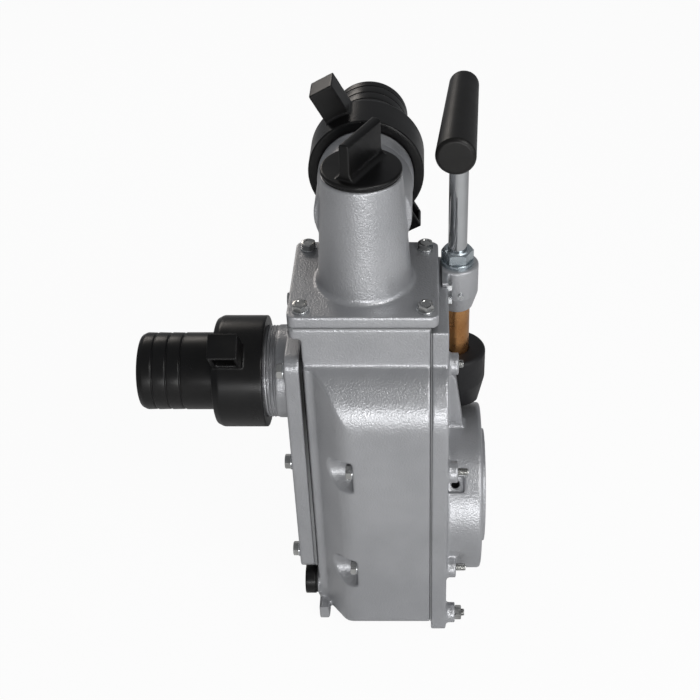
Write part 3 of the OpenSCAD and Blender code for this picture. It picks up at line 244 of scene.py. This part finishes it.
def eased(points, radii):
    """The outline with its corners rounded; radii holds one radius per point, 0 for sharp."""
    out = []
    n = len(points)
    for i, (p, r) in enumerate(zip(points, radii)):
        if r <= 0 or i in (0, n - 1):
            out.append(tuple(p))
            continue
        q = Vector(p)
        u, w = Vector(points[i - 1]) - q, Vector(points[i + 1]) - q
        r = min(r, u.length * LEG_SHARE, w.length * LEG_SHARE)
        a, b = q + u.normalized() * r, q + w.normalized() * r
        for k in range(EASE_STEPS + 1):
            t = k / EASE_STEPS
            c = a * (1 - t) ** 2 + q * 2 * t * (1 - t) + b * t ** 2
            out.append((c.x, c.y))
    return out


def turned(bm, radius, height, place, seg):
    """One ring of vertices, with the radius and the height of the k-th in mm."""
    return [
        bm.verts.new(place @ Vector((
            radius(k) * MM * math.cos(2 * math.pi * k / seg),
            radius(k) * MM * math.sin(2 * math.pi * k / seg), height(k) * MM)))
        for k in range(seg)
    ]


def stacked(rings, closed):
    """The pairs of neighbouring rings, with the last and the first if closed."""
    return list(zip(rings, rings[1:])) + ([(rings[-1], rings[0])] if closed else [])


def lathe(bm, outline, place, seg=TURN_FN, closed=False):
    """Turns an outline of (radius, height) in mm about place's Z; closed joins its ends."""
    rings = []
    for r, z in outline:
        if r < TINY:
            rings.append([bm.verts.new(place @ Vector((0, 0, z * MM)))])
        else:
            rings.append(turned(bm, lambda k: r, lambda k: z, place, seg))
    for a, b in stacked(rings, closed):
        for k in range(seg):
            j = (k + 1) % seg
            loop = [a[k % len(a)], a[j % len(a)], b[j % len(b)], b[k % len(b)]]
            loop = [v for i, v in enumerate(loop) if v not in loop[:i]]
            if len(loop) > 2:
                bm.faces.new(loop)


RINGS_PER_PITCH = 6


def threaded(bm, r, bore, z0, z1, pitch, depth, place, seg, lead=1.0):
    """A tube, or a rod where bore is 0, with a helical thread cut in its outside.

    The thread grows to its full depth over the lead at each end.
    """
    steps = max(2, int(round((z1 - z0) / pitch * RINGS_PER_PITCH)))
    rings = []

    def ring(z, radius):
        return turned(bm, radius, lambda k: z, place, seg)

    if bore:
        rings.append(ring(z0, lambda k: bore))
    rings.append(ring(z0, lambda k: r - depth))
    for i in range(steps + 1):
        z = z0 + (z1 - z0) * (i + 0.5) / (steps + 1)
        end = min(1.0, (z1 - z) / lead, (z - z0) / lead)

        def radius(k, z=z, end=end):
            wave = abs(((z / pitch - k / seg) % 1.0) * 2 - 1)
            return r - depth * (1 - end) - depth * end * wave

        rings.append(ring(z, radius))
    rings.append(ring(z1, lambda k: r - depth))
    if bore:
        rings.append(ring(z1, lambda k: bore))
    for a, b in stacked(rings, bore):
        for k in range(seg):
            bm.faces.new([a[k], a[(k + 1) % seg], b[(k + 1) % seg], b[k]])
    if not bore:
        bm.faces.new(rings[0][::-1])
        bm.faces.new(rings[-1])


# A hexagon's turned face: its rim as a share of the flats, how steeply the corners fall
# away, and a little less at the top. A dish in it goes from one share of the rim to another
HEX_RIM, HEX_FALL, HEX_TOP = 0.97, 0.55, 0.995
DISH_EDGE, DISH_FLOOR = 0.72, 0.66


def hexagon(bm, across, z0, z1, place, bore=0.0, turn=0.0, dish=0.0):
    """A hexagon head or nut with its corners turned off, on both faces if it has a bore."""
    flat = across / 2
    rim = flat * HEX_RIM

    def reach(k):
        a = (360 * k / TURN_FN + turn) % 60
        return flat / math.cos(math.radians(a - 30))

    def ring(radius, height):
        return turned(bm, radius, height, place, TURN_FN)

    def drop(k):
        return max(0.0, reach(k) - rim) * HEX_FALL

    low = (lambda k: z0 + drop(k)) if bore else (lambda k: z0)
    rings = [
        ring(lambda k: rim if bore else reach(k), lambda k: z0),
        ring(reach, low),
        ring(reach, lambda k: z1 - drop(k)),
        ring(lambda k: rim * HEX_TOP, lambda k: z1),
    ]
    if bore:
        rings.append(ring(lambda k: bore, lambda k: z1))
        rings.append(ring(lambda k: bore, lambda k: z0))
    elif dish:
        rings.append(ring(lambda k: rim * DISH_EDGE, lambda k: z1))
        rings.append(ring(lambda k: rim * DISH_FLOOR, lambda k: z1 - dish))
    for a, b in stacked(rings, bore):
        for k in range(TURN_FN):
            j = (k + 1) % TURN_FN
            if (a[k].co - b[k].co).length < SAME and (a[j].co - b[j].co).length < SAME:
                continue
            bm.faces.new([a[k], a[j], b[j], b[k]])
    if not bore:
        bm.faces.new(rings[-1])
        bm.faces.new(rings[0][::-1])


WASHER_UNDER, WASHER_OVER = 0.3, 0.4  # edges broken below and above


def washer(bm, r, bore, z0, z1, place):
    lathe(bm, [(bore, z0), (r - WASHER_UNDER, z0), (r, z0 + WASHER_UNDER),
               (r, z1 - WASHER_OVER), (r - WASHER_OVER, z1), (bore, z1)],
          place, WASHER_FN, closed=True)


CAST_KEPT = 0.35  # share of the remeshed faces that stay
CAST_SHARP = 60  # degrees, the least angle of an edge that stays sharp


def casting(name, node, voxel, rounds, mat):
    """The node's solid as sand-cast metal: its edges worn round and its inner corners filleted."""
    bm = bmesh.new()
    bm.from_mesh(NODES[node].data)
    bmesh.ops.remove_doubles(bm, verts=bm.verts, dist=TINY)
    me = bpy.data.meshes.new(name)
    bm.to_mesh(me)
    bm.free()
    obj = bpy.data.objects.new(name, me)
    bpy.context.scene.collection.objects.link(obj)
    remesh = obj.modifiers.new("voxels", "REMESH")
    remesh.mode = "VOXEL"
    remesh.voxel_size = voxel * MM
    smooth = obj.modifiers.new("rounding", "SMOOTH")
    smooth.factor = 0.5
    smooth.iterations = rounds
    thin = obj.modifiers.new("thin", "DECIMATE")
    thin.decimate_type = "COLLAPSE"
    thin.ratio = CAST_KEPT
    graph = bpy.context.evaluated_depsgraph_get()
    worn = bpy.data.meshes.new_from_object(obj.evaluated_get(graph))
    obj.modifiers.clear()
    obj.data = worn
    dress(obj, mat, node, CAST_SHARP, [node])


def solids(node):
    """The lowest and highest corners, in mm, of each separate solid of a node."""
    me = NODES[node].data
    index, parent = {}, []

    def root(i):
        while parent[i] != i:
            parent[i] = parent[parent[i]]
            i = parent[i]
        return i

    key = []
    for v in me.vertices:
        c = tuple(round(x, 6) for x in v.co)
        if c not in index:
            index[c] = len(parent)
            parent.append(len(parent))
        key.append(index[c])
    for face in me.polygons:
        first = root(key[face.vertices[0]])
        for i in face.vertices[1:]:
            parent[root(key[i])] = first
    groups = {}
    for c, i in index.items():
        groups.setdefault(root(i), []).append(c)
    return [
        (Vector([min(c[k] for c in g) for k in range(3)]) / MM,
         Vector([max(c[k] for c in g) for k in range(3)]) / MM)
        for g in sorted(groups.values())
    ]


# Radius, width across flats and head height of the screws, and the thread of the larger ones
M8_R, M8_AF, M8_HEAD, M8_PITCH = 4.0, 13.0, 5.5, 1.25
M6_R, M6_AF, M6_HEAD = 3.0, 10.0, 4.0
THREAD_SHOWN, THREAD_DEPTH = 13.0, 0.75
M8_DISH, M6_DISH = 0.5, 0.4
PLATE_TURN, PRIMER_TURN = 20, 12  # degrees that the heads were turned to when tightened
SHANK_EDGE, RING_PLAY = 0.05, 0.1
FASTENER_SHARP = 32  # degrees


def rod(bm, r, z0, z1, place):
    e = SHANK_EDGE
    lathe(bm, [(0, z0), (r - e, z0), (r, z0 + e), (r, z1 - e), (r - e, z1), (0, z1)],
          place, ROD_FN)


def fasteners(name, nodes, mat, build):
    """One piece of all the solids of the nodes, each made by build(bm, lo, hi)."""
    bm = bmesh.new()
    for node in nodes:
        for lo, hi in solids(node):
            build(bm, lo, hi)
    settle(name, bm, mat, nodes[0], FASTENER_SHARP, nodes)


def end_x(x, lo, hi, sign=1):
    """The placement on a solid's middle line along X, at that x."""
    return frame_x(x, (lo.y + hi.y) / 2, (lo.z + hi.z) / 2, sign)


def shank_x(bm, lo, hi, start):
    """An M8 shank along +X from start mm past the low end, its last stretch threaded."""
    place = end_x(lo.x, lo, hi)
    length = hi.x - lo.x
    rod(bm, M8_R, start, length - THREAD_SHOWN, place)
    threaded(bm, M8_R, 0, length - THREAD_SHOWN, length, M8_PITCH, THREAD_DEPTH, place, ROD_FN)


def bolt_x(bm, lo, hi):
    """A screw along +X with its head at the low end."""
    hexagon(bm, M8_AF, 0, M8_HEAD, end_x(lo.x + M8_HEAD, lo, hi, -1), dish=M8_DISH)
    shank_x(bm, lo, hi, M8_HEAD)


def stud_x(bm, lo, hi):
    shank_x(bm, lo, hi, 0)


def nut_x(bm, lo, hi):
    hexagon(bm, M8_AF, 0, hi.x - lo.x, end_x(lo.x, lo, hi), bore=M8_R)


def bolt_z(bm, lo, hi):
    """A screw along Z with its head at the high end."""
    place = frame_z((lo.x + hi.x) / 2, (lo.y + hi.y) / 2, hi.z - M8_HEAD)
    hexagon(bm, M8_AF, 0, M8_HEAD, place, dish=M8_DISH, turn=PLATE_TURN)
    rod(bm, M8_R, lo.z - hi.z + M8_HEAD, 0, place)


def screw_x(bm, lo, hi):
    """A small screw along X with its head at the high end."""
    place = end_x(hi.x - M6_HEAD, lo, hi)
    hexagon(bm, M6_AF, 0, M6_HEAD, place, dish=M6_DISH, turn=PRIMER_TURN)
    rod(bm, M6_R, lo.x - hi.x + M6_HEAD, 0, place)


def ring_x(bm, lo, hi):
    washer(bm, (hi.y - lo.y) / 2, M8_R + RING_PLAY, 0, hi.x - lo.x, end_x(lo.x, lo, hi))


def ring_z(bm, lo, hi):
    place = frame_z((lo.x + hi.x) / 2, (lo.y + hi.y) / 2, lo.z)
    washer(bm, (hi.y - lo.y) / 2, M8_R + RING_PLAY, 0, hi.z - lo.z, place)


fasteners("cover_bolts", ["inlet_cover_bolts"], STEEL, bolt_x)
fasteners("side_bolts", ["through_bolts"], STEEL, bolt_x)
fasteners("studs", ["cover_studs"], STEEL, stud_x)
fasteners("stud_nuts", ["cover_nuts"], STEEL, nut_x)
fasteners("plate_bolts", ["outlet_bolts"], STEEL, bolt_z)
fasteners("head_screws", ["primer_head_screws"], ZINC, screw_x)
fasteners("foot_screws", ["primer_foot_screws"], ZINC, screw_x)
fasteners("side_washers", ["inlet_cover_washers", "through_washers"], ZINC, ring_x)
fasteners("plate_washers", ["outlet_washers"], ZINC, ring_z)


# ---------------------------------------------------------------- hand primer
GLAND_AF, GLAND_BORE_R = 27.0, 9.1
COLLAR_R, COLLAR_T, COLLAR_EDGE = 16.0, 4.0, 0.9
FACE_R, FACE_T, FACE_EDGE = 12.2, 1.2, 0.8


def gland_nut():
    """A chamfered hexagon on a round collar, with a shallow turned face."""
    lo, hi = solids("primer_gland_nut")[0]
    place = frame_z((lo.x + hi.x) / 2, (lo.y + hi.y) / 2, lo.z)
    high = hi.z - lo.z
    bm = bmesh.new()
    hexagon(bm, GLAND_AF, COLLAR_T, high - FACE_T, place, bore=GLAND_BORE_R)
    lathe(bm, [(GLAND_BORE_R, 0), (COLLAR_R, 0), (COLLAR_R, COLLAR_T - COLLAR_EDGE),
               (COLLAR_R - COLLAR_EDGE, COLLAR_T), (GLAND_BORE_R, COLLAR_T)], place, closed=True)
    lathe(bm, [(GLAND_BORE_R, high - FACE_T), (FACE_R, high - FACE_T),
               (FACE_R - FACE_EDGE, high), (GLAND_BORE_R, high)], place, closed=True)
    settle("gland_nut", bm, GLAND, "primer_gland_nut", FASTENER_SHARP, ["primer_gland_nut"])


gland_nut()

# ---------------------------------------------------------------- hose unions
TAIL_R, TAIL_BORE_R, TAIL_FLANGE_R = 37.7, 32.5, 43.4
TAIL_FLANGE_T, TAIL_ROOT, RING_PITCH, RINGS = 6.0, 13.2, 13.5, 3
TAIL_STEP, TAIL_STEP_LEN = 0.4, 0.2  # the root beside the flange is this much thinner
RING_BACK = 0.15  # the last ring stands one pitch and this share of a pitch before the lip
# Each ring's groove: depth, steep side's length, floor's end, where it comes out, and how
# far below the tail's surface it does; then the roundings of its corners
BARB_DEPTH, BARB_LEAD, BARB_FLOOR, BARB_OUT, BARB_SHY = 1.25, 0.5, 0.9, 1.8, 0.25
BARB_RADII = [0.4, 0.3, 0.3, 0.8]
LIP_LEN, LIP_IN, LIP_EDGE, LIP_RADII = 5, 2.6, 0.8, [1.5, 1.6, 0.5, 0]
TAIL_SHARP, THREAD_SHARP = 40, 50


def hose_tail(name, node, place, length):
    """A flanged tail with its rings cut as shallow barbs and its lip rounded."""
    first = length - (RINGS + RING_BACK) * RING_PITCH
    outline = [(TAIL_BORE_R, 0), (TAIL_FLANGE_R, 0), (TAIL_FLANGE_R, TAIL_FLANGE_T),
               (TAIL_R - TAIL_STEP, TAIL_FLANGE_T), (TAIL_R - TAIL_STEP, TAIL_ROOT),
               (TAIL_R, TAIL_ROOT + TAIL_STEP_LEN)]
    radii = [0] * len(outline)
    for k in range(RINGS):
        z = first + k * RING_PITCH
        outline += [(TAIL_R, z - BARB_LEAD), (TAIL_R - BARB_DEPTH, z),
                    (TAIL_R - BARB_DEPTH, z + BARB_FLOOR), (TAIL_R - BARB_SHY, z + BARB_OUT)]
        radii += BARB_RADII
    outline += [(TAIL_R, length - LIP_LEN), (TAIL_R - LIP_IN, length),
                (TAIL_BORE_R + LIP_EDGE, length), (TAIL_BORE_R, length - LIP_EDGE)]
    radii += LIP_RADII
    bm = bmesh.new()
    lathe(bm, eased(outline, radii), place, TAIL_FN, closed=True)
    settle(name, bm, BLACK, node, TAIL_SHARP, [node])


# The union threads beside the nuts: root and crest radius, pitch, depth, run-out, the
# space left beside the nut, and where each one ends
STUB_R, STUB_CREST, STUB_PITCH, STUB_DEPTH, STUB_LEAD = 43.6, 45.0, 3.0, 1.0, 1.6
STUB_SPACE, INLET_STUB_END, OUT_STUB_END = 0.2, 11.2, 17.92


def stub_thread(name, node, start, end, place):
    bm = bmesh.new()
    threaded(bm, STUB_CREST, STUB_R, start, end, STUB_PITCH, STUB_DEPTH, place, TAIL_FN, STUB_LEAD)
    settle(name, bm, PAINT, node, THREAD_SHARP)


tail_lo, tail_hi = solids("inlet_hose_tail")[0]
INLET_AXIS = ((tail_lo.y + tail_hi.y) / 2, (tail_lo.z + tail_hi.z) / 2)
hose_tail("inlet_tail", "inlet_hose_tail", frame_x(tail_hi.x, *INLET_AXIS, -1),
          tail_hi.x - tail_lo.x)
nut_lo, nut_hi = solids("inlet_union_nut")[0]
stub_thread("inlet_thread", "inlet_cover", STUB_SPACE, INLET_STUB_END,
            frame_x(nut_hi.x, *INLET_AXIS))

tail_lo, tail_hi = solids("discharge_hose_tail")[0]
OUT_AXIS = ((tail_lo.x + tail_hi.x) / 2, (tail_lo.z + tail_hi.z) / 2)
hose_tail("discharge_tail", "discharge_hose_tail", frame_y(OUT_AXIS[0], tail_lo.y, OUT_AXIS[1]),
          tail_hi.y - tail_lo.y)
nut_lo, nut_hi = solids("discharge_union_nut")[0]
stub_thread("discharge_thread", "outlet_body", -OUT_STUB_END, -STUB_SPACE,
            frame_y(OUT_AXIS[0], nut_lo.y, OUT_AXIS[1]))


# ---------------------------------------------------------------- castings
# Piece, node, voxel in mm, rounds of smoothing, material
for piece in (
    ("casing_cast", "casing", 1.5, 5, PAINT),
    ("rear_cover_cast", "rear_cover", 1.4, 4, PAINT),
    ("outlet_cast", "outlet_body", 1.3, 4, PAINT),
    ("inlet_cover_cast", "inlet_cover", 1.3, 4, PAINT),
    ("primer_head_cast", "primer_head", 0.8, 4, PAINT),
    ("primer_foot_cast", "primer_foot", 1.0, 4, FOOT),
    ("inlet_nut_moulded", "inlet_union_nut", 0.9, 7, BLACK),
    ("discharge_nut_moulded", "discharge_union_nut", 0.9, 7, BLACK),
    ("cap_moulded", "filler_cap", 0.7, 5, BLACK),
    ("plug_moulded", "drain_plug", 0.7, 4, BLACK),
    ("grip_moulded", "primer_grip", 0.8, 5, GRIP),
):
    casting(*piece)

# The inlet gasket's edge is black near its top and turns grey towards its bottom, by its height
mat, nt, bsdf = new_material("inlet_gasket_edge", rough=0.6, specular=0.3)
height = nt.nodes.new("ShaderNodeSeparateXYZ")
nt.links.new(nt.nodes.new("ShaderNodeTexCoord").outputs["Object"], height.inputs["Vector"])
GREY_BELOW, BLACK_ABOVE = 0.02, 0.16
shade = ranged(nt, height.outputs["Z"], 1, 0, GREY_BELOW, BLACK_ABOVE)
nt.links.new(mix_colour(nt, shade, (0.008, 0.008, 0.008), (0.22, 0.225, 0.23)),
             bsdf.inputs["Base Color"])
NODES["inlet_gasket"].material_slots[0].material = mat
for painted in ("rear_gasket", "outlet_gasket"):
    NODES[painted].material_slots[0].material = SEAM


# ---------------------------------------------------------------- staging
FLOOR_Z = CAD_BOX[0][2]
FLOOR_HALF, FLOOR_DROP = 12, 0.0002
FLOOR_WHITE = 0.95  # how far the camera sees the floor as plain white
WORLD_POWER = 0.26

bm = bmesh.new()
bmesh.ops.create_grid(bm, x_segments=1, y_segments=1, size=FLOOR_HALF)
bmesh.ops.translate(bm, verts=bm.verts, vec=(0, 0, FLOOR_Z - FLOOR_DROP))
me = bpy.data.meshes.new("floor")
bm.to_mesh(me)
bm.free()
floor = bpy.data.objects.new("floor", me)
bpy.context.scene.collection.objects.link(floor)


def blended(nt, factor, shader, other, target):
    """Joins shader to the target socket, with other in its place as far as factor says."""
    blend = nt.nodes.new("ShaderNodeMixShader")
    nt.links.new(factor, blend.inputs["Fac"])
    nt.links.new(shader, blend.inputs[1])
    nt.links.new(other, blend.inputs[2])
    nt.links.new(blend.outputs["Shader"], target)


floor_mat, nt, bsdf = new_material("pale_floor", rough=0.9, specular=0.1)
bsdf.inputs["Base Color"].default_value = (0.86, 0.86, 0.86, 1)
glow = nt.nodes.new("ShaderNodeEmission")
glow.inputs["Color"].default_value = (1, 1, 1, 1)
glow.inputs["Strength"].default_value = 1.0
path = nt.nodes.new("ShaderNodeLightPath")
share = nt.nodes.new("ShaderNodeMath")
share.operation = "MULTIPLY"
share.inputs[1].default_value = FLOOR_WHITE
nt.links.new(path.outputs["Is Camera Ray"], share.inputs[0])
blended(nt, share.outputs["Value"], bsdf.outputs["BSDF"], glow.outputs["Emission"],
        nt.nodes["Material Output"].inputs["Surface"])
floor.data.materials.append(floor_mat)

world = bpy.data.worlds.new("studio")
bpy.context.scene.world = world
world.use_nodes = True
nt = world.node_tree
back = nt.nodes["Background"]
back.inputs["Color"].default_value = (0.80, 0.82, 0.85, 1)
back.inputs["Strength"].default_value = WORLD_POWER
white = nt.nodes.new("ShaderNodeBackground")
white.inputs["Color"].default_value = (1, 1, 1, 1)
white.inputs["Strength"].default_value = 1.0
path = nt.nodes.new("ShaderNodeLightPath")
seen = nt.nodes.new("ShaderNodeMath")
seen.operation = "MAXIMUM"
nt.links.new(path.outputs["Is Camera Ray"], seen.inputs[0])
nt.links.new(path.outputs["Is Transmission Ray"], seen.inputs[1])
blended(nt, seen.outputs["Value"], back.outputs["Background"], white.outputs["Background"],
        nt.nodes["World Output"].inputs["Surface"])


def softbox(name, place, target, size, power, colour=(1, 1, 1)):
    """A rectangular lamp of that size in metres and power in watts, turned to the target."""
    lamp = bpy.data.lights.new(name, "AREA")
    lamp.shape = "RECTANGLE"
    lamp.size, lamp.size_y = size
    lamp.energy = power
    lamp.color = colour
    obj = bpy.data.objects.new(name, lamp)
    obj.location = place
    obj.rotation_euler = (Vector(target) - Vector(place)).to_track_quat("-Z", "Y").to_euler()
    bpy.context.scene.collection.objects.link(obj)


softbox("front", (0.10, -1.9, 0.32), (-0.1, 0, 0.15), (1.2, 0.16), 12)
softbox("key", (0.9, -1.2, 1.6), (-0.1, 0, 0.1), (0.9, 0.7), 13, (1.0, 0.99, 0.97))
softbox("fill", (1.6, -1.0, 0.7), (-0.05, 0, 0.1), (1.2, 1.0), 7, (0.95, 0.97, 1.0))
softbox("warm", (-0.82, 1.42, 1.01), (-0.1, 0, 0.3), (0.6, 0.5), 3.5, (1.0, 0.93, 0.86))

# The photograph's camera: its lens was solved from the casing's edges
LENS, SENSOR, SHIFT_X = 62.4, 36, -0.107
CLIP = (0.05, 40)
CAMERA_PLACE, CAMERA_PITCH = (-0.0616, -0.9235, 0.9012), 52

camera = bpy.data.cameras.new("camera")
camera.lens = LENS
camera.sensor_width = SENSOR
camera.shift_x = SHIFT_X
camera.clip_start, camera.clip_end = CLIP
camera_obj = bpy.data.objects.new("camera", camera)
camera_obj.location = CAMERA_PLACE
camera_obj.rotation_euler = (math.radians(CAMERA_PITCH), 0, 0)
bpy.context.scene.collection.objects.link(camera_obj)
bpy.context.scene.camera = camera_obj
bpy.context.scene.view_settings.view_transform = "Standard"
